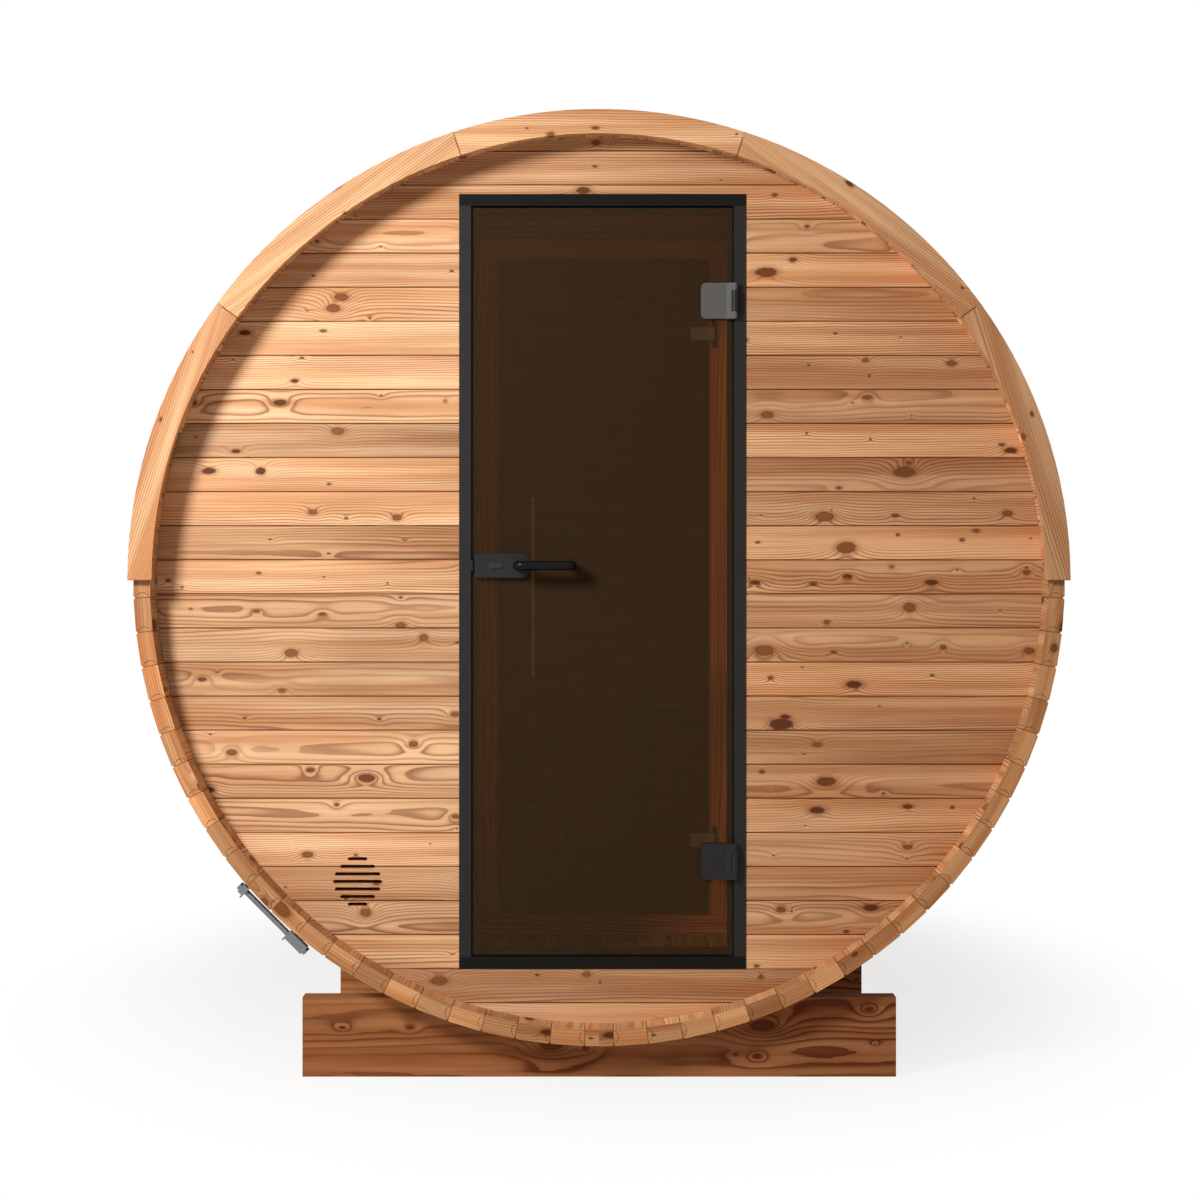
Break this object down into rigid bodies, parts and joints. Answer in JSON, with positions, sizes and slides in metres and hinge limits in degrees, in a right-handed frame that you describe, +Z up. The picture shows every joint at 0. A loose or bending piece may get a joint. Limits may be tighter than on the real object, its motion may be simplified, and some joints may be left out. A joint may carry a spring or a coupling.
{
  "type": "barrel sauna",
  "caption": "Round timber sauna of staves on cradle beams, with a glass front door, a glazed inner door and a stone heater.",
  "frame": {"origin": "on the ground, under the middle of the barrel", "axes": "+Z up, +Y from the front door to the rear wall along the barrel, +X to the right seen from the front"},
  "size_m": [2.26, 2.84, 2.3418],
  "materials": {
    "stave_wood": "oiled, heat treated",
    "wall_wood": "oiled, heat treated",
    "trim_wood": "oiled, heat treated",
    "beam_wood": "oiled, heat treated",
    "casing_wood": "oiled, heat treated",
    "floor_wood": "planed",
    "black_metal": "black powder coat",
    "bronze_glass": "bronze tinted, polished",
    "pale_steel": "galvanised",
    "heater_metal": "dark brushed",
    "heater_stone": "rough stone"
  },
  "bodies": {
    "barrel": {"band_tensioners": "pale_steel", "cradle_beam_front": "beam_wood", "cradle_beam_mid_front": "beam_wood", "cradle_beam_mid_rear": "beam_wood", "cradle_beam_rear": "beam_wood", "door_frame_head": "black_metal", "door_frame_hinges": "black_metal", "door_frame_jambs": "black_metal", "door_frame_sill": "black_metal", "floor_bearers": "floor_wood", "floor_staves": "stave_wood", "front_trim": "trim_wood", "front_wall_bottom": "wall_wood", "front_wall_left": "wall_wood", "front_wall_right": "wall_wood", "front_wall_top": "wall_wood", "front_wall_vent_boards": "wall_wood", "heater_base": "heater_metal", "heater_cage": "heater_metal", "heater_stones": "heater_stone", "hot_room_floor": "floor_wood", "inner_casing_head": "casing_wood", "inner_casing_hinges": "black_metal", "inner_casing_jambs": "casing_wood", "inner_casing_threshold": "casing_wood", "left_lower_staves": "stave_wood", "left_upper_staves": "stave_wood", "partition_bottom": "wall_wood", "partition_left": "wall_wood", "partition_right": "wall_wood", "partition_top": "wall_wood", "rear_trim": "trim_wood", "rear_wall": "wall_wood", "right_lower_staves": "stave_wood", "right_upper_staves": "stave_wood", "roof_staves": "stave_wood", "steel_bands": "pale_steel", "strike_plate": "black_metal", "vestibule_floor": "floor_wood"},
    "front_door": {"door_glass": "bronze_glass", "door_hinge_clamps": "black_metal", "lock_case": "black_metal", "key_cylinder": "black_metal"},
    "lever": {"door_lever": "black_metal"},
    "inner_door": {"inner_door_glass": "bronze_glass", "inner_door_hinge_clamps": "black_metal", "inner_door_pull_bars": "pale_steel"}
  },
  "joints": [
    {"name": "front_door_hinge", "type": "hinge", "parent": "barrel", "child": "front_door", "pos_m": [0.331, -1.34, 1.21], "axis": [0, 0, 1], "range_deg": [0, 110]},
    {"name": "lever_turn", "type": "hinge", "parent": "front_door", "child": "lever", "pos_m": [-0.1975, -1.325, 1.248], "axis": [0, 1, 0], "range_deg": [0, 45], "stiffness_Nm_per_rad": 0.6, "springref_deg": -28.65},
    {"name": "inner_door_hinge", "type": "hinge", "parent": "barrel", "child": "inner_door", "pos_m": [0.312, -0.667, 1.194], "axis": [0, 0, 1], "range_deg": [0, 90]}
  ]
}
